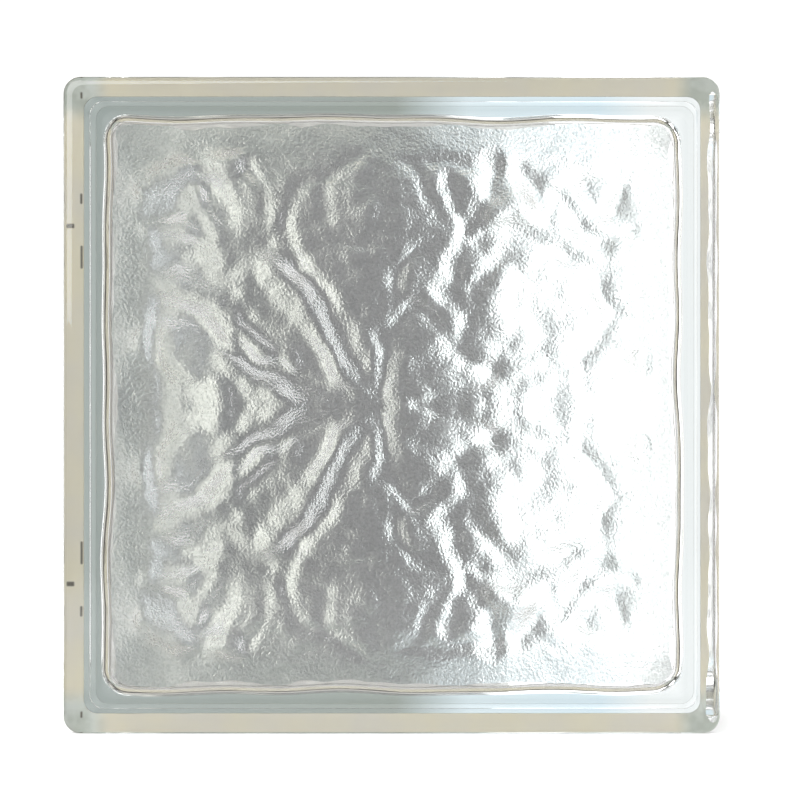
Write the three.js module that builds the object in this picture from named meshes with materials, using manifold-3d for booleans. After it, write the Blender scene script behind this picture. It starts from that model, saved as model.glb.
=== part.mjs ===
import * as THREE from 'three';
import { mergeVertices } from 'three/addons/utils/BufferGeometryUtils.js';
import Module from 'manifold-3d';

// A hollow glass block: two pressed half-shells of clear glass, fused rim to rim.
// Millimetres. X runs across the face, Y through the depth (the front face looks along -Y), Z up.

const blockSize = 190; // width and height of the square faces
const blockDepth = 80; // front face to back face

const faceEdgeRadius = 2.5; // rounding where a face turns into its lip
const lipCornerRadius = 5; // corners of the outline, seen from the front
const lipDepth = 8.5; // straight rim of full size behind each face
const lipFlank = 4; // run of the slope from the lip down to the mortar channel
const flankRounding = 0.6; // at the top and the foot of that slope
const channelDepth = 5.3; // how far the mortar channel lies under the lip
const channelCornerRadius = 4;

const seamBeadHeight = 0.6; // bead of glass squeezed out where the halves are fused
const seamBeadWidth = 4; // both halves together

const facePlate = 8; // glass from the face to the foot of the floor fillet
const wallAtFloor = 5.2; // side wall where the floor fillet ends
const wallAtSeam = 4.5; // the wall thins towards the seam, so that it leaves the mould
const floorFillet = 7;
const hollowCornerRadius = 8;

// The wave relief inside each face.
const reliefRise = 0.8; // mean height over the foot of the floor fillet
const ridgeHeight = 2.2;
const ridgeReach = 6.5; // from a ridge's crest to its foot
const furrowDepth = 2;
const furrowReach = 7;
const crestRounding = 0.5;
const flankHollowing = 1.6; // 1 gives straight flanks, more makes them hollow
const scoopDepth = 3; // scoops between the lines: rise over a run of one scoop size
const scoopSize = 10; // from one scoop to the next
const scoopScatter = 0.8; // how far their middles stray, as a share of the size
const swellHeight = 0.3;
const swellLength = 42;
const calmShare = 0.15; // the waves have this share of their height at the foot of the fillet,
const calmMargin = 9; // and their full height this far inside it
const patternSize = 155; // width inside the fillet that the ridges and furrows below are drawn for
const reliefCells = 54; // facets across the relief, an even number

const cornerSteps = 6; // facets round each outline corner
const roundingSteps = 4; // facets round each edge rounding

const halfSize = blockSize / 2;
const halfDepth = blockDepth / 2;
const floorAt = -halfDepth + facePlate; // where the foot of the fillet lies along Y
const channelHalf = halfSize - channelDepth;
const hollowHalfAtFloor = channelHalf - wallAtFloor;
const hollowHalfAtSeam = channelHalf - wallAtSeam;
const pitDepth = facePlate / 2; // the deepest furrow stays above half the plate's thickness

const wasm = await Module();
wasm.setup();

// ---------- outlines and lofts ----------

// One rounded square, as a ring of [x, z] points.
function roundedSquare(halfWidth, cornerRadius) {
  const straight = halfWidth - cornerRadius;
  const cornerSigns = [[1, 1], [-1, 1], [-1, -1], [1, -1]];
  const ring = [];
  cornerSigns.forEach(([signX, signZ], corner) => {
    for (let step = 0; step <= cornerSteps; step += 1) {
      const angle = (corner + step / cornerSteps) * Math.PI / 2;
      ring.push([
        signX * straight + cornerRadius * Math.cos(angle),
        signZ * straight + cornerRadius * Math.sin(angle),
      ]);
    }
  });
  return ring;
}

// A closed solid through rounded squares that follow one another along Y.
function loft(sections) {
  const vertices = [];
  const triangles = [];
  const rings = sections.map(({ y, halfWidth, cornerRadius }) => {
    const first = vertices.length / 3;
    roundedSquare(halfWidth, cornerRadius).forEach(([x, z]) => vertices.push(x, y, z));
    return first;
  });
  const count = 4 * (cornerSteps + 1);
  for (let level = 0; level + 1 < rings.length; level += 1) {
    for (let point = 0; point < count; point += 1) {
      const next = (point + 1) % count;
      const [low, high] = [rings[level], rings[level + 1]];
      triangles.push(low + point, high + point, low + next);
      triangles.push(low + next, high + point, high + next);
    }
  }
  const last = rings[rings.length - 1];
  for (let point = 1; point + 1 < count; point += 1) {
    triangles.push(rings[0], rings[0] + point, rings[0] + point + 1);
    triangles.push(last, last + point + 1, last + point);
  }
  return solid(vertices, triangles);
}

// Points of a quarter-round, as [share across, share along], from 0 to 1.
function quarterRound(steps) {
  const points = [];
  for (let step = 0; step <= steps; step += 1) {
    const angle = step / steps * Math.PI / 2;
    points.push([Math.sin(angle), 1 - Math.cos(angle)]);
  }
  return points;
}

// ---------- solids ----------

function solid(vertices, triangles) {
  return new wasm.Manifold(new wasm.Mesh({
    numProp: 3,
    vertProperties: Float32Array.from(vertices),
    triVerts: Uint32Array.from(triangles),
  }));
}

function solidFromGeometry(geometry) {
  geometry.deleteAttribute('normal');
  geometry.deleteAttribute('uv');
  const merged = mergeVertices(geometry);
  return solid(merged.attributes.position.array, merged.index.array);
}

function geometryFromSolid(body) {
  const mesh = body.getMesh();
  const geometry = new THREE.BufferGeometry();
  geometry.setAttribute('position', new THREE.BufferAttribute(mesh.vertProperties, 3));
  geometry.setIndex(new THREE.BufferAttribute(mesh.triVerts, 1));
  geometry.computeVertexNormals();
  return geometry;
}

// ---------- wave relief ----------

// Crests of the ridges over the upper half of the panel, as [x, z] from its middle. Most fan out from
// near the middle; the lower half mirrors them.
const ridges = [
  [[-4, 2], [-17, 23], [-27, 38], [-37, 47]],
  [[-5, 0], [-21, 12], [-37, 25], [-46, 32]],
  [[-3, 1], [0, 20], [9, 28], [18, 16], [29, 9]],
  [[18, 16], [17, 33], [21, 52], [28, 69]],
  [[21, 48], [40, 49], [57, 39]],
  [[37, 68], [45, 55], [60, 47]],
  [[56, 64], [64, 57], [75, 69]],
  [[-69, 37], [-62, 41], [-48, 38]],
  [[-61, 57], [-58, 62], [-53, 49]],
  [[-59, 0], [-26, 3], [-5, 0]],
  [[-27, 42], [-28, 59], [-13, 70]],
].map(patternCurve);

// Lines of the furrows between them.
const furrows = [
  [[-53, 55], [-45, 27], [-45, 15]],
  [[-69, 37], [-61, 34], [-45, 27]],
  [[-63, 18], [-60, 11], [-48, 2]],
  [[-47, 13], [-37, 15], [-29, 9]],
  [[-73, 62], [-58, 69], [-48, 70]],
  [[40, 58], [30, 57]],
  [[-47, 34], [-33, 21], [-27, 13]],
  [[-35, 41], [-22, 24], [-15, 10]],
].map(patternCurve);

// A smooth line through a few points of the pattern, as points on the panel of this block.
function patternCurve(points) {
  const stepsPerPoint = 4;
  const scale = 2 * (hollowHalfAtFloor - floorFillet) / patternSize;
  const placed = points.map(([x, z]) => new THREE.Vector3(scale * x, 0, scale * z));
  return new THREE.CatmullRomCurve3(placed).getPoints(stepsPerPoint * (points.length - 1));
}

// Distance from a point of the panel to the nearest of some lines.
function distanceTo(lines, x, z) {
  let nearest = Infinity;
  lines.forEach((line) => {
    for (let index = 0; index + 1 < line.length; index += 1) {
      const runX = line[index + 1].x - line[index].x;
      const runZ = line[index + 1].z - line[index].z;
      const awayX = x - line[index].x;
      const awayZ = z - line[index].z;
      const along = (awayX * runX + awayZ * runZ) / (runX * runX + runZ * runZ);
      const share = THREE.MathUtils.clamp(along, 0, 1);
      nearest = Math.min(nearest, Math.hypot(awayX - share * runX, awayZ - share * runZ));
    }
  });
  return nearest;
}

// Height of a roof with a rounded crest, as a share, from 1 on its line to 0 at its reach.
function roof(distance, reach) {
  const rounded = Math.hypot(distance, crestRounding) - crestRounding;
  return Math.max(1 - rounded / reach, 0) ** flankHollowing;
}

// An uneven but fixed offset between -0.5 and 0.5 for one square of the scoops' lattice. It is what
// lies behind the decimal point of a much enlarged sine; the factors only keep the squares unalike.
function scatter(column, row, kind) {
  const enlarged = 43758.5453 * Math.sin(12.9898 * column + 78.233 * row + 37.719 * kind);
  return enlarged - Math.floor(enlarged) - 0.5;
}

// Distance to the nearest scoop's middle, in scoop sizes. The middles are scattered, one in each square.
function scoopDistance(x, z) {
  const column = Math.floor(x / scoopSize);
  const row = Math.floor(z / scoopSize);
  let nearest = Infinity;
  for (let nextColumn = column - 1; nextColumn <= column + 1; nextColumn += 1) {
    for (let nextRow = row - 1; nextRow <= row + 1; nextRow += 1) {
      const middleX = nextColumn + 0.5 + scoopScatter * scatter(nextColumn, nextRow, 0);
      const middleZ = nextRow + 0.5 + scoopScatter * scatter(nextColumn, nextRow, 1);
      nearest = Math.min(nearest, Math.hypot(x / scoopSize - middleX, z / scoopSize - middleZ));
    }
  }
  return nearest;
}

// Height of the relief over the fillet's foot. It is the same above and below the middle line.
function reliefHeight(x, z) {
  const up = Math.abs(z);
  const swell = Math.sin(2 * Math.PI * x / swellLength) * Math.cos(2 * Math.PI * up / swellLength);
  const waves = ridgeHeight * roof(distanceTo(ridges, x, up), ridgeReach)
    - furrowDepth * roof(distanceTo(furrows, x, up), furrowReach)
    + scoopDepth * (scoopDistance(x, up) - 0.5);
  const fromFoot = hollowHalfAtFloor - floorFillet - Math.max(Math.abs(x), up);
  const stir = THREE.MathUtils.lerp(calmShare, 1, THREE.MathUtils.smoothstep(fromFoot, 0, calmMargin));
  return Math.max(reliefRise + swellHeight * swell + stir * waves, -pitDepth);
}

// A slab of glass that fills the front of the hollow up to the relief.
function reliefSlab() {
  const span = hollowHalfAtFloor + hollowHalfAtSeam;
  const geometry = new THREE.BoxGeometry(span, facePlate, span, reliefCells, 1, reliefCells);
  geometry.translate(0, floorAt - facePlate / 2, 0);
  const { position } = geometry.attributes;
  for (let index = 0; index < position.count; index += 1) {
    if (position.getY(index) > floorAt - facePlate / 2) {
      position.setY(index, floorAt + reliefHeight(position.getX(index), position.getZ(index)));
    }
  }
  return solidFromGeometry(geometry);
}

// ---------- the pressed half-shell ----------

// The slope between lip and channel, with its rounded top and foot.
function flankSections() {
  const slope = Math.atan2(channelDepth, lipFlank);
  const run = flankRounding * Math.tan(slope / 2); // from the sharp corner to where its rounding starts
  const top = -halfDepth + lipDepth;
  const foot = top + lipFlank;
  const steps = roundingSteps / 2;
  const sections = [];
  for (let step = 0; step <= steps; step += 1) {
    const turn = slope * step / steps;
    const inset = flankRounding * (1 - Math.cos(turn));
    sections.push({
      y: top - run + flankRounding * Math.sin(turn),
      halfWidth: halfSize - inset,
      cornerRadius: lipCornerRadius - inset,
    });
  }
  for (let step = steps; step >= 0; step -= 1) {
    const turn = slope * step / steps;
    const rise = flankRounding * (1 - Math.cos(turn));
    sections.push({
      y: foot + run - flankRounding * Math.sin(turn),
      halfWidth: channelHalf + rise,
      cornerRadius: channelCornerRadius + rise,
    });
  }
  return sections;
}

// Outside of one half: rounded face edge, lip, sloping flank, mortar channel and seam bead.
function outerForm() {
  const sections = [];
  quarterRound(roundingSteps).forEach(([across, along]) => {
    sections.push({
      y: -halfDepth + faceEdgeRadius * along,
      halfWidth: halfSize - faceEdgeRadius * (1 - across),
      cornerRadius: lipCornerRadius - faceEdgeRadius * (1 - across),
    });
  });
  sections.push(...flankSections());
  for (let step = 0; step <= roundingSteps; step += 1) {
    const share = step / roundingSteps;
    const rise = seamBeadHeight * (1 - Math.cos(share * Math.PI)) / 2;
    sections.push({
      y: -seamBeadWidth / 2 * (1 - share),
      halfWidth: channelHalf + rise,
      cornerRadius: channelCornerRadius + rise,
    });
  }
  return loft(sections);
}

// The hollow of one half, from under its relief to the seam, with a rounded floor edge.
function hollowForm() {
  const sections = [];
  quarterRound(roundingSteps).forEach(([across, along]) => {
    const inset = floorFillet * (1 - across);
    sections.push({
      y: floorAt + floorFillet * along,
      halfWidth: hollowHalfAtFloor - inset,
      cornerRadius: Math.max(hollowCornerRadius - inset, 1),
    });
  });
  sections.unshift({ ...sections[0], y: floorAt - pitDepth });
  sections.push({ y: 0, halfWidth: hollowHalfAtSeam, cornerRadius: hollowCornerRadius });
  return loft(sections);
}

function halfShell() {
  const hollow = hollowForm().subtract(reliefSlab());
  return geometryFromSolid(outerForm().subtract(hollow));
}

function clearGlass() {
  return new THREE.MeshStandardMaterial({
    color: '#dfe9e6',
    roughness: 0.05,
    metalness: 0,
    transparent: true,
    opacity: 0.35,
  });
}

const frontHalf = new THREE.Mesh(halfShell(), clearGlass());
frontHalf.name = 'front_half';

const backHalf = new THREE.Mesh(halfShell(), clearGlass());
backHalf.name = 'back_half';
backHalf.rotation.z = Math.PI; // the same pressing, turned to meet the front half

// The block stands on the rims of its lower lips, with the origin under its middle.
const glassBlock = new THREE.Group();
glassBlock.add(frontHalf, backHalf);
glassBlock.position.z = halfSize;

export default glassBlock;
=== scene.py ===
import bmesh
import bpy
import math
import numpy as np
from mathutils import Matrix, Vector


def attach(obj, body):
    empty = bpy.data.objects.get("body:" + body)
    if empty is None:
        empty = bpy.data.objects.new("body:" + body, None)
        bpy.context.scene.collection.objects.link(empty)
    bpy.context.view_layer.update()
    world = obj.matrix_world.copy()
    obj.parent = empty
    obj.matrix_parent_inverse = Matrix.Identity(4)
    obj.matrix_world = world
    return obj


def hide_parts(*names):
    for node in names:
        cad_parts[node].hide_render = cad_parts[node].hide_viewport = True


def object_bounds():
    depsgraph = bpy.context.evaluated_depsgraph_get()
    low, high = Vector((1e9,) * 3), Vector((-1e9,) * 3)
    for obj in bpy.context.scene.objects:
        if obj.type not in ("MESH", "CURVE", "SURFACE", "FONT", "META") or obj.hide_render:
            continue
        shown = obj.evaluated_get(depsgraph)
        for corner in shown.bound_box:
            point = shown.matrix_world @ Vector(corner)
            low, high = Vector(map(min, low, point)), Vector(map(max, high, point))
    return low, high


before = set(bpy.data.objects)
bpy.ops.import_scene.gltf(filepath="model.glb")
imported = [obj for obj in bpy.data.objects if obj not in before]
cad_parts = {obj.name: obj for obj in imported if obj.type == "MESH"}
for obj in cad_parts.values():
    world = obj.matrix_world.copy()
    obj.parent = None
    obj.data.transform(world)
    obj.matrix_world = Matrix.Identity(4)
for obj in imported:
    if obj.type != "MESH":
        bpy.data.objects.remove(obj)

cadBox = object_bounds()
print("frame loaded:", len(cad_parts), "solids")


def metres(millimetres):
    return millimetres / 1000


def linearColour(hexCode):                  # a screen colour such as "#c3beac", as light
    channels = [int(hexCode[start:start + 2], 16) / 255 for start in (1, 3, 5)]
    return [c / 12.92 if c <= 0.04045 else ((c + 0.055) / 1.055) ** 2.4 for c in channels] + [1]


def addNode(tree, kind, settings=None, links=None):
    # settings are the node's own choices; links give each socket a value, an output, or a whole node
    # where its first output is meant
    node = tree.nodes.new(kind)
    for name, value in (settings or {}).items():
        setattr(node, name, value)
    for socket, value in (links or {}).items():
        if isinstance(value, bpy.types.Node):
            value = value.outputs[0]
        if isinstance(value, bpy.types.NodeSocket):
            tree.links.new(value, node.inputs[socket])
        else:
            node.inputs[socket].default_value = value
    return node


def setStops(ramp, stops):                  # the colours of a ramp, each at its position
    elements = ramp.color_ramp.elements
    for number, (position, hexCode) in enumerate(stops):
        element = elements[number] if number < 2 else elements.new(position)
        element.position = position
        element.color = linearColour(hexCode)


# Two pressed half shells, fused at the middle into one hollow block. Sizes in millimetres.
block = {
    "side": (cadBox[1][0] - cadBox[0][0]) * 1000,
    "depth": (cadBox[1][1] - cadBox[0][1]) * 1000,
    "faceEdge": 2.5,          # rounding round each flat face
    "faceMargin": 0.5,        # from that rounding to the rim of the flat face's polygon
    "lipCorner": 5.0,         # corner radius of the lip
    "lipDepth": 8.5,          # from the face to the rear edge of the lip
    "flankDepth": 4.0,        # run of the sloped flank behind the lip
    "channelDepth": 5.3,      # how far the mortar channel lies below the lip
    "channelCorner": 4.0,
    "smallEdge": 0.6,         # rounding at the top and foot of the flank
    "seamHeight": 0.6,        # bead where the halves are fused
    "seamWidth": 4.0,
    "seamInside": 1.5,        # from the seam to where the inner wall's draft starts
    "facePlate": 8.0,         # thickness behind each face, before the relief
    "wallAtFloor": 5.2,       # side wall beside the face plate
    "wallAtSeam": 4.5,        # side wall at the seam, thinner for the draft
    "fillet": 7.0,            # between face plate and side wall, inside
    "filletWaver": 0.5,       # how far that fillet wanders, as the press leaves it
    "hollowCorner": 8.0,
    "rimBlend": 0.7,          # share of a face from which its mesh turns into the rim's rounded square
    "spans": 150,             # mesh steps along each side
    "cornerSpans": 8,         # of which this many go to each end's half corner
    "arcSteps": 8,
    "smallSteps": 4,
    "seed": 3,
}

coating = {                   # the cream film rolled onto the flanks, which mortar grips
    "start": 0.2,             # share of the flank left bare below the lip
    "startWaver": 0.12,       # how much that share wanders
    "rightBare": 0.4,         # what more of it is bare on the right side
    "rightFade": 6,           # mesh steps over which that begins at the corners
    "reach": 0.9,             # how far it runs past the flank's foot onto the channel floor
    "waver": 0.5,             # how far its border wanders
    "shadeLineWidth": 0.5,         # dark line painted along that border as shade
    "shadeLineColour": "#4f463a",
    # the film's mottle and, where it is thin, its streaks: how coarse, and the tones over the noise's range
    "mottleGrain": 22.0, "mottle": [(0.35, "#f6f1e2"), (0.65, "#fdf6dc")],
    "streakGrain": 6.0, "streaks": [(0.4, "#cdd4c9"), (0.62, "#eaf0e8")],
    "thinFrom": 14.0, "thinTo": 7.0,    # this far from the corners the film thins to streaks
    # specks and scratches on the left flank: place across, height from the middle, half length, half width
    "marks": [(-93.0, 52, 0.35, 0.35), (-90.3, 90, 0.6, 0), (-90.4, 60, 1.2, 0), (-90.3, 43, 3.0, 0)],
    "markColour": "#6f6a5c", "markCore": 0.1, "markFade": 0.5,
    "seed": 5,
}

# The pressed relief inside each face. Heights and spreads in millimetres.
relief = {
    "meanRise": 0.8,
    "broadHeight": 2.3, "broadReach": 6.0,
    "fineHeight": 1.2, "fineReach": 3.0,
    "creaseDepth": 2.4, "creaseReach": 6.0,
    "crestRound": 1.0, "steepening": 1.6,
    "swellHeight": 2.2, "swellSize": 12.0,      # the even swell of the whole face
    "facetHeight": 2.1, "facetSize": 7.0,       # the scoops between the lines
    "lineDrift": 6.0,         # how far the swell pushes the lines aside
    "calmMargin": 7.0,        # this far from the rim the relief keeps only
    "calmShare": 0.15,        # this share of its height, and rises to all of it
    "calmFade": 4.0,          # over this width,
    "calmWaver": 24.0,        # along a border that wanders with the swell
    "leastRim": 0.001,        # share of the fillet's radius that the rim always stands above the plate
    "seed": 4.0,
}

# Centre lines of the relief over the upper half of a face, from its middle; the lower half mirrors them.
broadLines = [
    [(-37, 47), (-32, 45), (-27, 38), (-20, 29), (-17, 23), (-13, 16), (-4, 2)],
    [(-46, 32), (-37, 25), (-28, 18), (-21, 12), (-16, 5), (-5, 0)],
    [(-3, 1), (-1, 13), (0, 20), (5, 27), (9, 28), (13, 24), (18, 16), (23, 12), (29, 9)],
    [(28, 69), (28, 60), (21, 52), (21, 44), (17, 33), (21, 25), (18, 16)],
    [(21, 48), (31, 50), (40, 49), (48, 45), (57, 39)],
    [(37, 68), (45, 55), (49, 60), (54, 53), (60, 47)],
    [(56, 64), (60, 57), (64, 57), (75, 69)],
    [(-69, 37), (-62, 41), (-55, 41), (-48, 38)],
    [(-61, 57), (-58, 62), (-55, 53), (-53, 49)],
    [(-50, 17), (-38, 12), (-25, 7), (-10, 2)],
    [(-66, 55), (-60, 60), (-56, 57)],
    [(-56, 64), (-52, 61), (-50, 57)],
    [(-66, 47), (-58, 46), (-50, 45)],
    [(-72, 28), (-64, 27), (-56, 24), (-50, 18)],
]
fineLines = [
    [(-27, 42), (-30, 50), (-28, 59), (-27, 65), (-20, 66), (-13, 70), (-5, 76), (3, 72), (14, 70), (28, 69)],
    [(-4, 30), (-4, 23), (-3, 16), (-4, 4)],
    [(17, 51), (11, 47), (5, 41), (1, 36), (-1, 27)],
    [(-20, 65), (-19, 56), (-16, 50), (-11, 48), (-2, 47)],
    [(7, 68), (11, 61), (13, 57), (17, 51)],
    [(16, 68), (19, 56), (21, 52)],
    [(-14, 23), (-10, 27)],
    [(64, 57), (70, 51), (80, 53)],
    [(33, 45), (29, 40), (24, 33)],
    [(70, 13), (75, 7)],
    [(-53, 64), (-49, 60), (-47, 54)],
    [(-41, 69), (-38, 62), (-37, 56)],
    [(-50, 76), (-47, 75), (-41, 76)],
    [(-32, 78), (-29, 76), (-26, 73)],
    [(-41, 25), (-37, 22), (-30, 17), (-23, 8)],
    [(-68, 30), (-70, 17), (-65, 7), (-67, 0)],
    [(60, 36), (63, 27), (58, 17), (49, 10), (37, 7)],
    [(8, 0), (17, 2), (29, 9)],
]
creaseLines = [
    [(-53, 55), (-49, 41), (-45, 27), (-47, 22), (-45, 15)],
    [(-69, 37), (-61, 34), (-51, 30), (-45, 27)],
    [(-63, 18), (-60, 11), (-52, 6), (-48, 2)],
    [(-48, 13), (-40, 7), (-34, 3), (-30, 0)],
    [(-73, 62), (-67, 66), (-58, 69), (-48, 70)],
    [(40, 58), (30, 57)],
    [(-66, 51), (-60, 50), (-53, 49)],
    [(-48, 24), (-44, 21), (-38, 15)],
    [(-47, 34), (-42, 29), (-33, 21), (-27, 13)],
    [(-35, 41), (-28, 31), (-22, 24), (-15, 10)],
    [(-57, 61), (-53, 51), (-50, 44)],
    [(-72, 47), (-71, 33), (-74, 20)],
]

finishNames = ["Clear Glass", "Stippled Glass", "Edge Coating", "Painted Shade Line"]
clear, stippled, coated, paintedShadeLine = range(4)      # the finish of each face of the shell; the last is a line of painted shade

halfSide = block["side"] / 2
halfDepth = block["depth"] / 2
channelFloor = halfSide - block["channelDepth"]
hollowHalf = channelFloor - block["wallAtFloor"]
filletRadius = block["fillet"]
meanAngle = math.acos(1 - relief["meanRise"] / filletRadius)    # where the mean surface meets the fillet
meanInset = filletRadius * (1 - math.sin(meanAngle))

spans, cornerSpans = block["spans"], block["cornerSpans"]
perimeter = 4 * spans
sideSteps = np.arange(spans)
straightShare = np.clip((sideSteps - cornerSpans) / (spans - 2 * cornerSpans), 0, 1)
cornerAngle = np.radians(np.interp(
    sideSteps, [0, cornerSpans, spans - cornerSpans, spans], [225, 270, 270, 315]))
quarterTurns = ((1, 0), (0, 1), (-1, 0), (0, -1))


def squareRing(halfWidth, radius):          # a rounded square of points, from the middle of a corner
    halfWidths = np.broadcast_to(halfWidth, perimeter).reshape(4, spans)
    radii = np.broadcast_to(radius, perimeter).reshape(4, spans)
    xs = (halfWidths - radii) * (2 * straightShare - 1) + radii * np.cos(cornerAngle)
    zs = radii - halfWidths + radii * np.sin(cornerAngle)
    sides = [np.stack([x * c - z * s, x * s + z * c], 1) for x, z, (c, s) in zip(xs, zs, quarterTurns)]
    return np.concatenate(sides)


def regularSquare(reach):                   # an even square of points, numbered as those of squareRing
    along = reach * (2 * sideSteps / spans - 1)
    down = np.full(spans, -reach)
    sides = [np.stack([along * c - down * s, along * s + down * c], 1) for c, s in quarterTurns]
    return np.concatenate(sides)


def ringWave(seed, waves=(3, 7, 11, 19, 31, 53)):    # a slow wave round the block that closes on itself
    rng = np.random.default_rng(seed)
    around = np.arange(perimeter) / perimeter * 2 * math.pi
    return sum(np.sin(count * around + rng.uniform(0, 2 * math.pi)) for count in waves) / len(waves) * 2


# The shell as it grows. Of each point the node tree has to know its half, -1 in front and 1 at the back;
# its arc, from 0 to 1 up a fillet, 2 on the relief and -1 elsewhere; its pull, the share of the rim's slide
# that it follows; and the outline of the hollow next to it, with the way inwards from there.
shell = {"points": [], "half": [], "arc": [], "pull": [], "edge": [], "inward": [],
         "faces": [], "finish": []}
attributeKinds = {"half": "FLOAT", "arc": "FLOAT", "pull": "FLOAT",
                  "edge": "FLOAT_VECTOR", "inward": "FLOAT_VECTOR", "finish": "INT"}


def addPoints(across, y, half=0, arc=-1.0, pull=0.0, edge=(0, 0), inward=(0, 0)):
    first = len(shell["points"])
    count = len(across)
    for name, value in (("half", half), ("arc", arc), ("pull", pull)):
        shell[name].extend(np.broadcast_to(value, count).tolist())
    for name, flat, depth in (("points", across, y), ("edge", edge, 0), ("inward", inward, 0)):
        flat = np.broadcast_to(flat, (count, 2))
        shell[name].extend(np.stack([flat[:, 0], np.broadcast_to(depth, count), flat[:, 1]], 1).tolist())
    return first


def addFace(corners, finish, turned):
    shell["faces"].append(tuple(reversed(corners)) if turned else tuple(corners))
    shell["finish"].append(finish)


def bridgeRings(near, far, finish, turned):
    for step in range(perimeter):
        after = (step + 1) % perimeter
        addFace((near + step, near + after, far + after, far + step), finish, turned)


def filmStart():                            # share of the flank that the film leaves bare, most at the right
    fade = coating["rightFade"]
    bends = [spans, spans + fade, 2 * spans - fade, 2 * spans]
    atRight = np.interp(np.arange(perimeter), bends, [0, 1, 1, 0])
    wandering = coating["start"] + coating["startWaver"] * ringWave(coating["seed"] + 1)
    return wandering + coating["rightBare"] * atRight


def outerProfile():
    # From the front face to the seam: depth, half width, corner radius, finish of the strip that follows.
    edge, small = block["faceEdge"], block["smallEdge"]
    lipCorner, channelCorner = block["lipCorner"], block["channelCorner"]
    arcSteps, smallSteps = block["arcSteps"], block["smallSteps"]
    rows = [(-halfDepth, halfSide - edge - block["faceMargin"], lipCorner - edge, clear)]
    for turn in np.linspace(0, math.pi / 2, arcSteps + 1):
        inset = edge * (1 - math.sin(turn))
        rows.append((-halfDepth + edge * (1 - math.cos(turn)), halfSide - inset, lipCorner - inset, clear))
    lipEnd = -halfDepth + block["lipDepth"]
    foot = lipEnd + block["flankDepth"]
    slope = math.atan2(block["channelDepth"], block["flankDepth"])
    run = small * math.tan(slope / 2)
    for turn in np.linspace(0, slope, smallSteps + 1):
        inset = small * (1 - math.cos(turn))
        rows.append((lipEnd - run + small * math.sin(turn), halfSide - inset, lipCorner - inset, clear))
    # the film starts on the straight of the flank, whose top and foot these are
    flankTop, topWidth = rows[-1][:2]
    flankFoot, footWidth = foot + run - small * math.sin(slope), channelFloor + small * (1 - math.cos(slope))
    share = filmStart()
    filmDepth = flankTop + share * (flankFoot - flankTop)
    filmWidth = topWidth + share * (footWidth - topWidth)
    rows.append((filmDepth, filmWidth, lipCorner - halfSide + filmWidth, coated))
    for turn in np.linspace(slope, 0, smallSteps + 1):
        rise = small * (1 - math.cos(turn))
        rows.append((foot + run - small * math.sin(turn), channelFloor + rise, channelCorner + rise, coated))
    border = foot + run + coating["reach"] + coating["waver"] * ringWave(coating["seed"])
    # the strip just before the film's border is painted dark brown, as shade
    rows.append((border - coating["shadeLineWidth"], channelFloor, channelCorner, paintedShadeLine))
    rows.append((border, channelFloor, channelCorner, clear))
    for step in np.linspace(1, 0, arcSteps + 1):
        rise = block["seamHeight"] * (1 + math.cos(math.pi * step)) / 2
        rows.append((-block["seamWidth"] / 2 * step, channelFloor + rise, channelCorner + rise, clear))
    return rows


def buildOuterSkin():
    front = outerProfile()
    rear = [(-front[i][0], front[i][1], front[i][2], front[max(i - 1, 0)][3])
            for i in range(len(front) - 2, -1, -1)]
    rows = front + rear
    rings = [addPoints(squareRing(halfWidth, radius), y) for y, halfWidth, radius, finish in rows]
    for near, far, row in zip(rings, rings[1:], rows):
        bridgeRings(near, far, row[3], True)
    addFace(range(rings[0], rings[0] + perimeter), clear, False)
    addFace(range(rings[-1], rings[-1] + perimeter), clear, True)


def ringPlace(u, v):                        # how far round the ring a point of the square grid looks out
    reach = np.maximum(np.maximum(np.abs(u), np.abs(v)), 1e-9)      # never quite nothing, as it divides
    u, v = u / reach, v / reach
    along = [(u + 1) / 2, 1 + (v + 1) / 2, 2 + (1 - u) / 2, 3 + (1 - v) / 2]
    return spans * np.select([np.isclose(v, -1), np.isclose(u, 1), np.isclose(v, 1)], along[:3], along[3])


def sampleRing(ring, place):
    whole = np.floor(place).astype(int)
    share = (place - whole)[..., None]
    return ring[whole % perimeter] * (1 - share) + ring[(whole + 1) % perimeter] * share


def buildPanel(half):
    # One face's relief surface and fillet, flat for now: the node tree lifts them.
    waver = block["filletWaver"] * ringWave(half + block["seed"], (3, 6, 10, 15, 21))
    edge = squareRing(hollowHalf + waver, block["hollowCorner"])
    inward = -squareRing(1, 1)
    rim = edge + inward * meanInset
    rings = [addPoints(rim, 0, half, arc, 0, metres(edge), inward)
             for arc in np.linspace(0, 1, block["arcSteps"] + 1)]
    for near, far in zip(rings, rings[1:]):
        bridgeRings(near, far, clear, half > 0)
    reach = hollowHalf - meanInset
    axis = np.linspace(-1, 1, spans + 1)
    u, v = np.meshgrid(axis, axis, indexing="ij")
    place = ringPlace(u, v)
    nearness = np.maximum(np.abs(u), np.abs(v))
    blendIn = np.clip((nearness - block["rimBlend"]) / (1 - block["rimBlend"]), 0, 1)
    blendIn = blendIn * blendIn * (3 - 2 * blendIn)
    regular = sampleRing(regularSquare(reach), place)
    across = np.stack([u, v], -1) * reach + blendIn[..., None] * (sampleRing(rim, place) - regular)
    inner = (slice(1, -1), slice(1, -1))
    first = addPoints(across[inner].reshape(-1, 2), 0, half, 2.0, blendIn[inner].ravel(),
                      metres(sampleRing(edge, place)[inner].reshape(-1, 2)),
                      sampleRing(inward, place)[inner].reshape(-1, 2))
    index = np.zeros((spans + 1, spans + 1), int)
    index[inner] = first + np.arange((spans - 1) ** 2).reshape(spans - 1, spans - 1)
    border = np.ones_like(index, bool)
    border[inner] = False
    index[border] = rings[0] + place[border].round().astype(int) % perimeter
    for i in range(spans):
        for j in range(spans):
            corners = (index[i, j], index[i + 1, j], index[i + 1, j + 1], index[i, j + 1])
            addFace([int(corner) for corner in corners], stippled, half < 0)
    return rings[-1]


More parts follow.
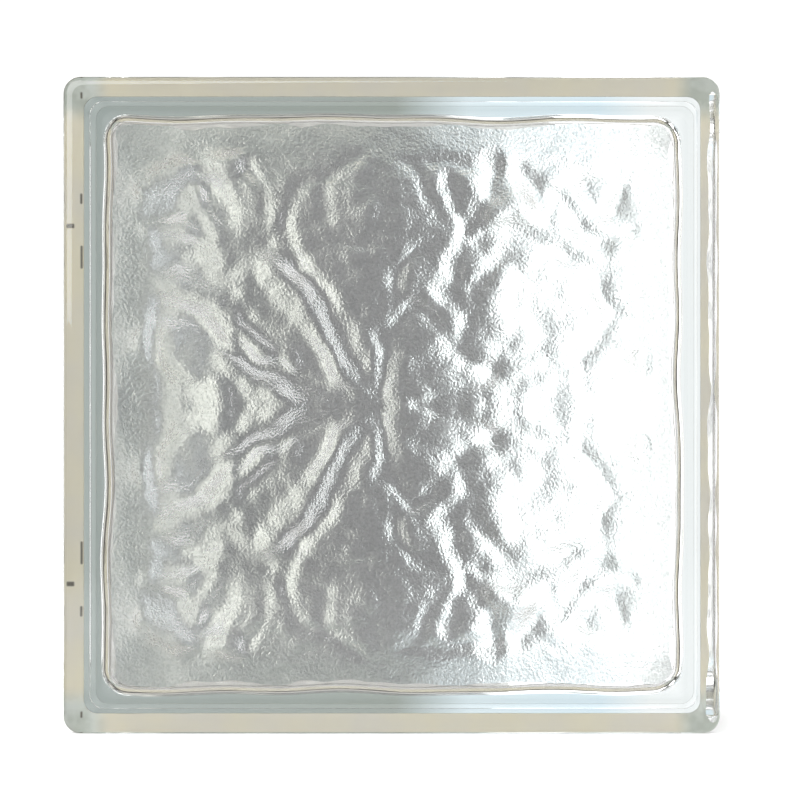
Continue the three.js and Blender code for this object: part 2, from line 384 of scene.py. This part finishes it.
def buildHollow():
    front, rear = buildPanel(-1), buildPanel(1)
    seamHalf = channelFloor - block["wallAtSeam"]
    middle = [addPoints(squareRing(seamHalf, block["hollowCorner"]), block["seamInside"] * side)
              for side in (-1, 0, 1)]
    chain = [front, *middle, rear]
    for near, far in zip(chain, chain[1:]):
        bridgeRings(near, far, clear, False)


def shellObject():
    buildOuterSkin()
    buildHollow()
    mesh = bpy.data.meshes.new("pressedShell")
    mesh.from_pydata(metres(np.array(shell["points"])).tolist(), [], shell["faces"])
    mesh.polygons.foreach_set("use_smooth", [True] * len(mesh.polygons))
    for name, kind in attributeKinds.items():
        attribute = mesh.attributes.new(name, kind, "FACE" if name == "finish" else "POINT")
        values = np.array(shell[name], dtype=int if kind == "INT" else float).ravel()
        attribute.data.foreach_set("vector" if kind == "FLOAT_VECTOR" else "value", values.tolist())
    work = bmesh.new()
    work.from_mesh(mesh)
    layer = work.faces.layers.int["finish"]
    for edge in work.edges:                 # the relief meets its fillet in a true crease
        if {face[layer] for face in edge.link_faces} == {clear, stippled}:
            edge.smooth = False
    work.to_mesh(mesh)
    work.free()
    shellPiece = bpy.data.objects.new("pressedShell", mesh)
    bpy.context.scene.collection.objects.link(shellPiece)
    return shellPiece


def lineObject(name, lines):                # relief centre lines, as loose edges
    points, edges = [], []
    for line in lines:
        edges += [(len(points) + i, len(points) + i + 1) for i in range(len(line) - 1)]
        points += [(metres(x), 0, metres(z)) for x, z in line]
    mesh = bpy.data.meshes.new(name)
    mesh.from_pydata(points, edges, [])
    lineWork = bpy.data.objects.new(name, mesh)
    bpy.context.scene.collection.objects.link(lineWork)
    return lineWork


# The sizes that both node trees take as inputs
reliefSizes = {
    "Mean Rise": metres(relief["meanRise"]),
    "Crest Round": metres(relief["crestRound"]),
    "Steepening": relief["steepening"],
    "Line Drift": metres(relief["lineDrift"]),
    "Panel Half": metres(hollowHalf - meanInset),
    "Calm Margin": metres(relief["calmMargin"]),
    "Calm Fade": metres(relief["calmFade"]),
    "Calm Waver": metres(relief["calmWaver"]),
    "Calm Share": relief["calmShare"],
    "Facet Height": metres(relief["facetHeight"]),
    "Facet Size": metres(relief["facetSize"]),
    "Swell Height": metres(relief["swellHeight"]),
    "Swell Size": metres(relief["swellSize"]),
    "Seed": relief["seed"],
}
# and each family of lines, with how high it stands, negative where it sinks, and how far it reaches
reliefFamilies = {
    "Broad": (broadLines, relief["broadHeight"], relief["broadReach"]),
    "Fine": (fineLines, relief["fineHeight"], relief["fineReach"]),
    "Crease": (creaseLines, -relief["creaseDepth"], relief["creaseReach"]),
}


def newTree(name, inputs, lineKind, outputs):   # with its own inputs, then those of the relief
    tree = bpy.data.node_groups.new(name, "GeometryNodeTree")
    inputs = {**inputs, **dict.fromkeys(reliefSizes, "Float")}
    for family in reliefFamilies:
        inputs.update({family + " Lines": lineKind, family + " Height": "Float", family + " Reach": "Float"})
    for direction, sockets in (("INPUT", inputs), ("OUTPUT", outputs)):
        for socketName, kind in sockets.items():
            tree.interface.new_socket(socketName, in_out=direction, socket_type="NodeSocket" + kind)
    return tree, tree.nodes.new("NodeGroupInput").outputs


def reliefHeightTree():
    # How far the glass rises above the plate at a point of the face: the mean, a rounded ridge along
    # each line, a rounded groove along each crease, scoops between them, and an even swell.
    tree, given = newTree(
        "reliefHeight", {"Point": "Vector", "Half": "Float"}, "Geometry", {"Height": "Float"})

    # the back is the front turned round, and the lower half of each mirrors the upper
    place = addNode(tree, "ShaderNodeSeparateXYZ", None, {0: given["Point"]}).outputs
    facing = addNode(tree, "ShaderNodeMath", {"operation": "MULTIPLY"}, {0: given["Half"], 1: -1.0})
    across = addNode(tree, "ShaderNodeMath", {"operation": "MULTIPLY"}, {0: place[0], 1: facing})
    up = addNode(tree, "ShaderNodeMath", {"operation": "ABSOLUTE"}, {0: place[2]})
    point = addNode(tree, "ShaderNodeCombineXYZ", None, {0: across, 2: up})

    # the swell, from the noise's middle at 0.5, which also pushes the lines aside
    swellScale = addNode(tree, "ShaderNodeMath", {"operation": "DIVIDE"}, {0: 1.0, 1: given["Swell Size"]})
    swell = addNode(tree, "ShaderNodeTexNoise", {"noise_dimensions": "4D"}, {
        "Vector": point, "W": given["Seed"], "Scale": swellScale, "Detail": 1.0, "Roughness": 0.4})
    sway = addNode(tree, "ShaderNodeMath", {"operation": "SUBTRACT"}, {0: swell.outputs["Fac"], 1: 0.5})
    calm = addNode(tree, "ShaderNodeMath", {"operation": "MULTIPLY"}, {0: sway, 1: given["Swell Height"]})
    calm = addNode(tree, "ShaderNodeMath", {"operation": "ADD"}, {0: calm, 1: given["Mean Rise"]})
    drift = addNode(tree, "ShaderNodeVectorMath", {"operation": "SUBTRACT"}, {
        0: swell.outputs["Color"], 1: (0.5, 0.5, 0.5)})
    drifted = addNode(tree, "ShaderNodeVectorMath", {"operation": "MULTIPLY_ADD"}, {
        0: drift, 1: given["Line Drift"], 2: point})

    # the share of the relief's height that is left near the rim
    place = addNode(tree, "ShaderNodeSeparateXYZ", None, {0: drifted}).outputs
    aside = addNode(tree, "ShaderNodeMath", {"operation": "ABSOLUTE"}, {0: place[0]})
    farther = addNode(tree, "ShaderNodeMath", {"operation": "MAXIMUM"}, {0: aside, 1: place[2]})
    farther = addNode(tree, "ShaderNodeMath", {"operation": "MULTIPLY_ADD"}, {
        0: sway, 1: given["Calm Waver"], 2: farther})
    calmFrom = addNode(tree, "ShaderNodeMath", {"operation": "SUBTRACT"}, {
        0: given["Panel Half"], 1: given["Calm Margin"]})
    fullUntil = addNode(tree, "ShaderNodeMath", {"operation": "SUBTRACT"}, {
        0: calmFrom, 1: given["Calm Fade"]})
    stir = addNode(tree, "ShaderNodeMapRange", {"interpolation_type": "SMOOTHSTEP"}, {
        "Value": farther, 1: fullUntil, 2: calmFrom, 3: 1.0, 4: given["Calm Share"]})

    # scoops, ridges and grooves
    facetScale = addNode(tree, "ShaderNodeMath", {"operation": "DIVIDE"}, {0: 1.0, 1: given["Facet Size"]})
    facets = addNode(tree, "ShaderNodeTexVoronoi", {"voronoi_dimensions": "4D"}, {
        "Vector": drifted, "W": given["Seed"], "Scale": facetScale})
    hollows = addNode(tree, "ShaderNodeMath", {"operation": "SUBTRACT"}, {
        0: facets.outputs["Distance"], 1: 0.5})
    total = addNode(tree, "ShaderNodeMath", {"operation": "MULTIPLY"}, {
        0: hollows, 1: given["Facet Height"]})
    crest = given["Crest Round"]
    crestSquare = addNode(tree, "ShaderNodeMath", {"operation": "MULTIPLY"}, {0: crest, 1: crest})
    for family in reliefFamilies:
        near = addNode(tree, "GeometryNodeProximity", {"target_element": "EDGES"}, {
            "Target": given[family + " Lines"], "Source Position": drifted})
        away = near.outputs["Distance"]
        squares = addNode(tree, "ShaderNodeMath", {"operation": "MULTIPLY_ADD"}, {
            0: away, 1: away, 2: crestSquare})
        rounded = addNode(tree, "ShaderNodeMath", {"operation": "SQRT"}, {0: squares})
        past = addNode(tree, "ShaderNodeMath", {"operation": "SUBTRACT"}, {0: rounded, 1: crest})
        share = addNode(tree, "ShaderNodeMath", {"operation": "DIVIDE"}, {
            0: past, 1: given[family + " Reach"]})
        rest = addNode(tree, "ShaderNodeMath", {"operation": "SUBTRACT"}, {0: 1.0, 1: share})
        rest = addNode(tree, "ShaderNodeMath", {"operation": "MAXIMUM"}, {0: rest, 1: 0.0})
        roof = addNode(tree, "ShaderNodeMath", {"operation": "POWER"}, {0: rest, 1: given["Steepening"]})
        total = addNode(tree, "ShaderNodeMath", {"operation": "MULTIPLY_ADD"}, {
            0: roof, 1: given[family + " Height"], 2: total})
    height = addNode(tree, "ShaderNodeMath", {"operation": "MULTIPLY_ADD"}, {0: total, 1: stir, 2: calm})
    addNode(tree, "NodeGroupOutput", None, {"Height": height})
    return tree


def pressTree():
    # Lifts the flat relief surface by that height, and lets its rim slide along the fillet to meet it.
    inputs = {"Geometry": "Geometry", "Fillet": "Float", "Floor Depth": "Float", "Mean Inset": "Float"}
    inputs.update(dict.fromkeys(finishNames, "Material"))
    tree, given = newTree("pressRelief", inputs, "Object", {"Geometry": "Geometry"})
    known = {name: addNode(tree, "GeometryNodeInputNamedAttribute", {"data_type": kind}, {"Name": name})
             for name, kind in attributeKinds.items()}
    half, arc, edge, inward = known["half"], known["arc"], known["edge"], known["inward"]
    heightTree = reliefHeightTree()
    heightInputs = {name: given[name] for name in reliefSizes}
    heightInputs["Half"] = half
    for family in reliefFamilies:
        heightInputs[family + " Height"] = given[family + " Height"]
        heightInputs[family + " Reach"] = given[family + " Reach"]
        lineWork = addNode(tree, "GeometryNodeObjectInfo", None, {0: given[family + " Lines"]})
        heightInputs[family + " Lines"] = lineWork.outputs["Geometry"]

    # the rim: how high the relief stands there gives its angle on the fillet, and that its inset
    radius = given["Fillet"]
    meanRim = addNode(tree, "ShaderNodeVectorMath", {"operation": "MULTIPLY_ADD"}, {
        0: inward, 1: given["Mean Inset"], 2: edge})
    rimHeight = addNode(tree, "GeometryNodeGroup", {"node_tree": heightTree}, {
        "Point": meanRim, **heightInputs})
    share = addNode(tree, "ShaderNodeMath", {"operation": "DIVIDE"}, {0: rimHeight, 1: radius})
    cosine = addNode(tree, "ShaderNodeMath", {"operation": "SUBTRACT"}, {0: 1.0, 1: share})
    cosine = addNode(tree, "ShaderNodeMath", {"operation": "MINIMUM"}, {
        0: cosine, 1: 1 - relief["leastRim"]})
    rimAngle = addNode(tree, "ShaderNodeMath", {"operation": "ARCCOSINE"}, {0: cosine})
    sine = addNode(tree, "ShaderNodeMath", {"operation": "SINE"}, {0: rimAngle})
    fromEdge = addNode(tree, "ShaderNodeMath", {"operation": "SUBTRACT"}, {0: 1.0, 1: sine})
    rimInset = addNode(tree, "ShaderNodeMath", {"operation": "MULTIPLY"}, {0: radius, 1: fromEdge})

    # the fillet, from the rim up to the side wall
    toTop = addNode(tree, "ShaderNodeMath", {"operation": "SUBTRACT"}, {0: math.pi / 2, 1: rimAngle})
    angle = addNode(tree, "ShaderNodeMath", {"operation": "MULTIPLY_ADD"}, {0: toTop, 1: arc, 2: rimAngle})
    sine = addNode(tree, "ShaderNodeMath", {"operation": "SINE"}, {0: angle})
    fromEdge = addNode(tree, "ShaderNodeMath", {"operation": "SUBTRACT"}, {0: 1.0, 1: sine})
    inset = addNode(tree, "ShaderNodeMath", {"operation": "MULTIPLY"}, {0: radius, 1: fromEdge})
    filletPoint = addNode(tree, "ShaderNodeVectorMath", {"operation": "MULTIPLY_ADD"}, {
        0: inward, 1: inset, 2: edge})
    cosine = addNode(tree, "ShaderNodeMath", {"operation": "COSINE"}, {0: angle})
    fromFloor = addNode(tree, "ShaderNodeMath", {"operation": "SUBTRACT"}, {0: 1.0, 1: cosine})
    filletRise = addNode(tree, "ShaderNodeMath", {"operation": "MULTIPLY"}, {0: radius, 1: fromFloor})

    # the relief, which follows the rim's slide the nearer it lies to it
    here = addNode(tree, "GeometryNodeInputPosition")
    rimSlide = addNode(tree, "ShaderNodeMath", {"operation": "SUBTRACT"}, {
        0: rimInset, 1: given["Mean Inset"]})
    slide = addNode(tree, "ShaderNodeMath", {"operation": "MULTIPLY"}, {0: known["pull"], 1: rimSlide})
    facePoint = addNode(tree, "ShaderNodeVectorMath", {"operation": "MULTIPLY_ADD"}, {
        0: inward, 1: slide, 2: here})
    faceRise = addNode(tree, "GeometryNodeGroup", {"node_tree": heightTree}, {
        "Point": facePoint, **heightInputs})

    # each lifted to its height, by the arc's value, and the outer skin left alone
    onFace = addNode(tree, "ShaderNodeMath", {"operation": "GREATER_THAN"}, {0: arc, 1: 1.5})
    notOuter = addNode(tree, "ShaderNodeMath", {"operation": "GREATER_THAN"}, {0: arc, 1: -0.5})
    notFace = addNode(tree, "ShaderNodeMath", {"operation": "LESS_THAN"}, {0: arc, 1: 1.5})
    onFillet = addNode(tree, "ShaderNodeMath", {"operation": "MULTIPLY"}, {0: notOuter, 1: notFace})
    geometry = given["Geometry"]
    for chosen, point, rise in ((onFace, facePoint, faceRise), (onFillet, filletPoint, filletRise)):
        depth = addNode(tree, "ShaderNodeMath", {"operation": "SUBTRACT"}, {
            0: given["Floor Depth"], 1: rise})
        y = addNode(tree, "ShaderNodeMath", {"operation": "MULTIPLY"}, {0: half, 1: depth})
        flat = addNode(tree, "ShaderNodeSeparateXYZ", None, {0: point}).outputs
        place = addNode(tree, "ShaderNodeCombineXYZ", None, {0: flat[0], 1: y, 2: flat[2]})
        geometry = addNode(tree, "GeometryNodeSetPosition", None, {
            "Geometry": geometry, "Selection": chosen, "Position": place})
    geometry = addNode(tree, "GeometryNodeRealizeInstances", None, {"Geometry": geometry})
    for number, name in enumerate(finishNames):
        chosen = addNode(tree, "ShaderNodeMath", {"operation": "COMPARE"}, {
            0: known["finish"], 1: float(number), 2: 0.1})
        geometry = addNode(tree, "GeometryNodeSetMaterial", None, {
            "Geometry": geometry, "Selection": chosen, "Material": given[name]})
    addNode(tree, "NodeGroupOutput", None, {"Geometry": geometry})
    return tree


def pressBlock(materials):
    shellPiece = shellObject()
    shellPiece.data.materials.append(materials[clear])
    values = {
        "Fillet": metres(filletRadius),
        "Floor Depth": metres(halfDepth - block["facePlate"]),
        "Mean Inset": metres(meanInset),
        **reliefSizes,
        **dict(zip(finishNames, materials)),
    }
    spares = [shellPiece]
    for family, (lines, height, reach) in reliefFamilies.items():
        lineWork = lineObject(family.lower() + "Lines", lines)
        values.update({family + " Lines": lineWork, family + " Height": metres(height),
                       family + " Reach": metres(reach)})
        spares.append(lineWork)
    tree = pressTree()
    modifier = shellPiece.modifiers.new("pressRelief", "NODES")
    modifier.node_group = tree
    for item in tree.interface.items_tree:
        if item.in_out == "INPUT" and item.name in values:
            modifier[item.identifier] = values[item.name]
    graph = bpy.context.evaluated_depsgraph_get()
    mesh = bpy.data.meshes.new_from_object(shellPiece.evaluated_get(graph), depsgraph=graph)
    for name in attributeKinds:
        if name in mesh.attributes:
            mesh.attributes.remove(mesh.attributes[name])
    mesh.transform(Matrix.Translation((0, 0, metres(halfSide))))
    for spare in spares:                    # the shell with its modifier, and the lines
        bpy.data.objects.remove(spare)
    mesh.name = "glassBlock"
    piece = bpy.data.objects.new("glass_block", mesh)
    bpy.context.scene.collection.objects.link(piece)
    return piece


glass = {                     # soda-lime glass, a little green from its iron
    "ior": 1.52,
    "tint": "#c3e6e4",        # colour left in light that has crossed a lot of it
    "density": 0.7,           # per metre
    "stippleGrain": 0.75,     # millimetres between dimples, drawn a little coarser than real, to show
    "stippleDepth": 0.36,
    "stippleRoughness": 0.28,
    "paintedDimpleShade": [(0.35, "#d2d4d3"), (0.65, "#ffffff")],     # painted shade: light let through, least low in a dimple
}


def glassMaterial(name, isStippled):
    # Flame has made the outside smooth, so it shines and bends light cleanly. The pressed side keeps the
    # mould's fine dimples, which blur what is seen through it and give it its grain.
    material = bpy.data.materials.new(name)
    material.use_nodes = True
    tree = material.node_tree
    surface = tree.nodes["Principled BSDF"]
    surface.inputs["Base Color"].default_value = (1, 1, 1, 1)
    surface.inputs["Transmission Weight"].default_value = 1
    surface.inputs["IOR"].default_value = glass["ior"]
    surface.inputs["Roughness"].default_value = glass["stippleRoughness"] if isStippled else 0
    body = addNode(tree, "ShaderNodeVolumeAbsorption", None, {
        "Color": linearColour(glass["tint"]), "Density": glass["density"]})
    tree.links.new(body.outputs[0], tree.nodes["Material Output"].inputs["Volume"])
    if isStippled:
        place = addNode(tree, "ShaderNodeTexCoord").outputs["Object"]
        dimples = addNode(tree, "ShaderNodeTexNoise", None, {
            "Vector": place, "Scale": 1000 / glass["stippleGrain"], "Detail": 1.5}).outputs["Fac"]
        bump = addNode(tree, "ShaderNodeBump", None, {
            "Distance": metres(glass["stippleDepth"]), "Height": dimples})
        tree.links.new(bump.outputs[0], surface.inputs["Normal"])
        # the dimples' lows are tinted darker: painted shade for the light they turn aside
        paintedShade = addNode(tree, "ShaderNodeValToRGB", None, {"Fac": dimples})
        setStops(paintedShade, glass["paintedDimpleShade"])
        tree.links.new(paintedShade.outputs[0], surface.inputs["Base Color"])
    return material


def coatingMaterial():
    # A matt cream film that mortar grips, a little mottled. Near the corners it is thin and streaked, so
    # that the greenish grey of the glass shows.
    material = bpy.data.materials.new("cream edge coating")
    material.use_nodes = True
    tree = material.node_tree
    surface = tree.nodes["Principled BSDF"]
    place = addNode(tree, "ShaderNodeTexCoord").outputs["Object"]
    mottle = addNode(tree, "ShaderNodeTexNoise", None, {
        "Vector": place, "Scale": 1000 / coating["mottleGrain"], "Detail": 3}).outputs["Fac"]
    blend = addNode(tree, "ShaderNodeValToRGB", None, {"Fac": mottle})
    setStops(blend, coating["mottle"])
    fromMiddle = addNode(tree, "ShaderNodeVectorMath", {"operation": "SUBTRACT"}, {
        0: place, 1: (0, 0, metres(halfSide))})
    reaches = addNode(tree, "ShaderNodeVectorMath", {"operation": "ABSOLUTE"}, {0: fromMiddle})
    split = addNode(tree, "ShaderNodeSeparateXYZ", None, {0: reaches}).outputs
    nearer = addNode(tree, "ShaderNodeMath", {"operation": "MINIMUM"}, {0: split[0], 1: split[2]})
    thin = addNode(tree, "ShaderNodeMapRange", {"interpolation_type": "SMOOTHSTEP"}, {
        "Value": nearer, 1: metres(halfSide - coating["thinFrom"]), 2: metres(halfSide - coating["thinTo"])})
    smear = addNode(tree, "ShaderNodeTexNoise", None, {
        "Vector": place, "Scale": 1000 / coating["streakGrain"], "Detail": 2}).outputs["Fac"]
    streaks = addNode(tree, "ShaderNodeValToRGB", None, {"Fac": smear})
    setStops(streaks, coating["streaks"])
    colour = addNode(tree, "ShaderNodeMix", {"data_type": "RGBA"}, {
        0: thin, 6: blend, 7: streaks}).outputs[2]

    # the marks, each a soft-edged box at its place and mirrored below the middle
    heightOnly = addNode(tree, "ShaderNodeVectorMath", {"operation": "MULTIPLY"}, {0: reaches, 1: (0, 0, 1)})
    folded = addNode(tree, "ShaderNodeVectorMath", {"operation": "MULTIPLY_ADD"}, {
        0: fromMiddle, 1: (1, 0, 0), 2: heightOnly})
    for x, z, halfLength, halfWidth in coating["marks"]:
        past = addNode(tree, "ShaderNodeVectorMath", {"operation": "SUBTRACT"}, {
            0: folded, 1: (metres(x), 0, metres(z))})
        past = addNode(tree, "ShaderNodeVectorMath", {"operation": "ABSOLUTE"}, {0: past})
        past = addNode(tree, "ShaderNodeVectorMath", {"operation": "SUBTRACT"}, {
            0: past, 1: (metres(halfWidth), 0, metres(halfLength))})
        past = addNode(tree, "ShaderNodeVectorMath", {"operation": "MAXIMUM"}, {0: past, 1: (0, 0, 0)})
        gap = addNode(tree, "ShaderNodeVectorMath", {"operation": "LENGTH"}, {0: past}).outputs["Value"]
        worn = addNode(tree, "ShaderNodeMapRange", None, {
            "Value": gap, 1: metres(coating["markCore"]), 2: metres(coating["markFade"])})
        colour = addNode(tree, "ShaderNodeMix", {"data_type": "RGBA"}, {
            0: worn, 6: linearColour(coating["markColour"]), 7: colour}).outputs[2]
    tree.links.new(colour, surface.inputs["Base Color"])
    surface.inputs["Roughness"].default_value = 0.8
    surface.inputs["Specular IOR Level"].default_value = 0.1
    return material


def shadeLineMaterial():                         # painted shade: a dull brown line along the coating's border
    material = bpy.data.materials.new("painted shade at the coating border")
    material.use_nodes = True
    surface = material.node_tree.nodes["Principled BSDF"]
    surface.inputs["Base Color"].default_value = linearColour(coating["shadeLineColour"])
    surface.inputs["Roughness"].default_value = 0.9
    return material


materials = [glassMaterial("soda-lime glass, fire polished", False),
             glassMaterial("soda-lime glass, stippled in the press", True),
             coatingMaterial(), shadeLineMaterial()]
glassBlock = pressBlock(materials)
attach(glassBlock, "root")
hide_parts("front_half", "back_half")
print("glass block pressed:", len(glassBlock.data.polygons), "faces")


# A plain white studio with a pale floor and one soft lamp. Sizes and places in millimetres.
studio = {
    "imageSide": 800,                # the render is this many pixels wide and high
    "blockWidth": 658,               # and the face is this many of them wide
    "blockCentre": (391.5, 405.0),   # with its middle here
    "cameraDistance": 1100.0,        # in front of the face
    "cameraAcross": 25.0,            # a step to the right of the block's middle
    "clipStart": 10.0,
    "world": 1.12,                   # brightness of the white surroundings
    "floorColour": "#fefefe",
    "floorHalfWidth": 3000, "floorFront": -3000, "floorBack": 30000,
    "lampPlace": (-450, -520, 520), "lampSize": 900, "lampPower": 10.0,
}

# Plain cards that only glass sees, so that it has tones to bend: a backdrop, grey with one light band at the
# left and white at the right, a grey strip close behind the block, grey flags at its left, above and below,
# and dark ones that draw its outline. Corners are measured from under its middle, and tones by their place
# from left to right.
cards = {
    "backdropLeft": {
        "corners": [(-900, 300, -300), (30, 300, -300), (30, 300, 700), (-900, 300, 700)], "glow": 2.0,
        "tones": [(-400, "#8f8d89"), (-300, "#8f8d89"), (-260, "#fffaf0"), (-130, "#fffaf0"),
                  (-100, "#565452"), (-60, "#4f4e4e"), (30, "#5f5d60")]},
    "backdropRight": {
        "corners": [(30, 300, -300), (900, 300, -300), (900, 300, 700), (30, 300, 700)], "glow": 2.7,
        "tones": [(30, "#ffffff"), (900, "#ffffff")]},
    "greyStrip": {
        "corners": [(-34, 62, -20), (30, 62, -20), (30, 62, 210), (-34, 62, 210)], "glow": 1.0,
        "tones": [(-34, "#7f7d7e"), (30, "#7f7d7e")]},
    "leftFlag": {
        "corners": [(-150, -60, -70), (-150, 160, -70), (-150, 160, 260), (-150, -60, 260)], "glow": 1.0,
        "tones": [(-150, "#a3a19a"), (0, "#a3a19a")]},
    "topFlag": {
        "corners": [(-150, -60, 260), (40, -60, 260), (40, 160, 260), (-150, 160, 260)], "glow": 1.0,
        "tones": [(-150, "#a3a19a"), (40, "#d0cfca")], "mirrored": True},
    "leftOutline": {
        "corners": [(-149, 6, -69), (-149, 36, -69), (-149, 36, 259), (-149, 6, 259)], "glow": 1.0,
        "tones": [(-150, "#3d3428"), (0, "#3d3428")]},
    "topOutline": {
        "corners": [(-149, 6, 259), (149, 6, 259), (149, 36, 259), (-149, 36, 259)], "glow": 1.0,
        "tones": [(-150, "#3d3428"), (30, "#3d3428"), (149, "#5d5952")], "mirrored": True},
    "rightOutline": {
        "corners": [(149, 6, -69), (149, 36, -69), (149, 36, 259), (149, 6, 259)], "glow": 1.0,
        "tones": [(0, "#4d4942"), (150, "#4d4942")]},
}

# One more stands behind the rim as a square frame. Its profile is multiplied into its tones, and runs from
# its inner edge outwards, by the distance from the frame's middle.
frameCard = {
    "middle": (-1.5, 95.0), "behind": 12.0, "inner": 80.0, "outer": 106.0, "glow": 1.25,
    "profile": [(80, "#f4f6f6"), (90, "#d6dada"), (106, "#ffffff")],
    "tones": [(-106, "#a4aba8"), (0, "#9fa59e"), (22, "#e4eff4"), (62, "#e2f1fa"), (78, "#ffffff"),
              (106, "#ffffff")],
}


def tonesAlong(tree, distance, tones):      # the tone at a distance, between those given in millimetres
    first, last = tones[0][0], tones[-1][0]
    share = addNode(tree, "ShaderNodeMapRange", None, {
        "Value": distance, 1: metres(first), 2: metres(last)})
    ramp = addNode(tree, "ShaderNodeValToRGB", None, {"Fac": share})
    setStops(ramp, [((place - first) / (last - first), tone) for place, tone in tones])
    return ramp.outputs[0]


def emptyMaterial(name):                    # for a card, which only glows
    material = bpy.data.materials.new(name)
    material.use_nodes = True
    material.node_tree.nodes.clear()
    return material, material.node_tree


def hangCard(name, mesh, material, tone, brightness):
    glow = addNode(material.node_tree, "ShaderNodeEmission", None, {"Color": tone, "Strength": brightness})
    addNode(material.node_tree, "ShaderNodeOutputMaterial", None, {"Surface": glow})
    mesh.materials.append(material)
    cardPiece = bpy.data.objects.new(name, mesh)
    bpy.context.scene.collection.objects.link(cardPiece)
    cardPiece.visible_camera = False
    cardPiece.visible_shadow = False
    cardPiece.visible_diffuse = False


def studioCard(name, card):
    corners = [tuple(metres(value) for value in corner) for corner in card["corners"]]
    faces = [(0, 1, 2, 3)]
    if card.get("mirrored"):                # once more below the block's middle
        faces.append((4, 5, 6, 7))
        corners += [(x, y, metres(block["side"]) - z) for x, y, z in corners]
    mesh = bpy.data.meshes.new(name)
    mesh.from_pydata(corners, [], faces)
    material, tree = emptyMaterial(name)
    place = addNode(tree, "ShaderNodeTexCoord").outputs["Object"]
    split = addNode(tree, "ShaderNodeSeparateXYZ", None, {0: place}).outputs
    hangCard(name, mesh, material, tonesAlong(tree, split[0], card["tones"]), card["glow"])


def frameOfLight():
    (x, z), inner, outer = frameCard["middle"], frameCard["inner"], frameCard["outer"]
    y = halfDepth + frameCard["behind"]
    signs = ((-1, -1), (1, -1), (1, 1), (-1, 1))
    points = [(x + right * reach, y, z + up * reach) for reach in (inner, outer) for right, up in signs]
    mesh = bpy.data.meshes.new("frameCard")
    mesh.from_pydata([tuple(metres(value) for value in point) for point in points], [],
                     [(side, side + 4, (side + 1) % 4 + 4, (side + 1) % 4) for side in range(4)])
    material, tree = emptyMaterial("frameCard")
    place = addNode(tree, "ShaderNodeTexCoord").outputs["Object"]
    fromMiddle = addNode(tree, "ShaderNodeVectorMath", {"operation": "SUBTRACT"}, {
        0: place, 1: (metres(x), 0, metres(z))})
    outwards = addNode(tree, "ShaderNodeVectorMath", {"operation": "ABSOLUTE"}, {0: fromMiddle})
    reaches = addNode(tree, "ShaderNodeSeparateXYZ", None, {0: outwards}).outputs
    farther = addNode(tree, "ShaderNodeMath", {"operation": "MAXIMUM"}, {
        0: reaches[0], 1: reaches[2]}).outputs[0]
    across = addNode(tree, "ShaderNodeSeparateXYZ", None, {0: place}).outputs[0]
    tone = addNode(tree, "ShaderNodeMix", {"data_type": "RGBA", "blend_type": "MULTIPLY"}, {
        0: 1.0, 6: tonesAlong(tree, farther, frameCard["profile"]),
        7: tonesAlong(tree, across, frameCard["tones"])}).outputs[2]
    hangCard("frameCard", mesh, material, tone, frameCard["glow"])


def buildStudio():
    world = bpy.data.worlds.new("studio")
    world.use_nodes = True
    world.node_tree.nodes["Background"].inputs["Color"].default_value = (1, 1, 1, 1)
    world.node_tree.nodes["Background"].inputs["Strength"].default_value = studio["world"]
    bpy.context.scene.world = world

    halfWidth, front, back = (metres(studio[name]) for name in ("floorHalfWidth", "floorFront", "floorBack"))
    floorMesh = bpy.data.meshes.new("studioFloor")
    floorMesh.from_pydata([(-halfWidth, front, 0), (halfWidth, front, 0), (halfWidth, back, 0),
                           (-halfWidth, back, 0)], [], [(0, 1, 2, 3)])
    floor = bpy.data.objects.new("studioFloor", floorMesh)
    bpy.context.scene.collection.objects.link(floor)
    paint = bpy.data.materials.new("white studio paint")        # pale enough to show only the soft shadow
    paint.use_nodes = True
    paintSurface = paint.node_tree.nodes["Principled BSDF"]
    paintSurface.inputs["Base Color"].default_value = linearColour(studio["floorColour"])
    floorMesh.materials.append(paint)
    floor.visible_transmission = False      # the glass sees white below it as it does above

    for name, card in cards.items():
        studioCard(name, card)
    frameOfLight()

    lamp = bpy.data.lights.new("softbox", "AREA")
    lamp.shape = "SQUARE"
    lamp.size = metres(studio["lampSize"])
    lamp.energy = studio["lampPower"]
    softbox = bpy.data.objects.new("softbox", lamp)
    bpy.context.scene.collection.objects.link(softbox)
    softbox.location = [metres(value) for value in studio["lampPlace"]]
    aim = Vector((0, 0, metres(halfSide))) - softbox.location
    softbox.rotation_euler = aim.to_track_quat("-Z", "Y").to_euler()
    softbox.visible_camera = False
    softbox.visible_transmission = False


def buildCamera():
    lens = bpy.data.cameras.new("camera")
    camera = bpy.data.objects.new("camera", lens)
    bpy.context.scene.collection.objects.link(camera)
    imageSide = studio["imageSide"]
    frameWidth = block["side"] * imageSide / studio["blockWidth"]      # what the render spans at the face
    lens.lens = lens.sensor_width * studio["cameraDistance"] / frameWidth
    lens.clip_start = metres(studio["clipStart"])
    across, down = studio["blockCentre"]
    lens.shift_x = (imageSide / 2 - across) / imageSide - studio["cameraAcross"] / frameWidth
    lens.shift_y = (down - imageSide / 2) / imageSide
    camera.location = (metres(studio["cameraAcross"]),
                       metres(-halfDepth - studio["cameraDistance"]), metres(halfSide))
    camera.rotation_euler = (math.pi / 2, 0, 0)
    bpy.context.scene.camera = camera


buildStudio()
buildCamera()
cycles = bpy.context.scene.cycles
cycles.max_bounces = 24                     # light crosses four surfaces or more and bounces between them
cycles.transmission_bounces = 24
cycles.glossy_bounces = 12
cycles.diffuse_bounces = 6
bpy.context.scene.view_settings.view_transform = "Standard"
print("studio and camera set")
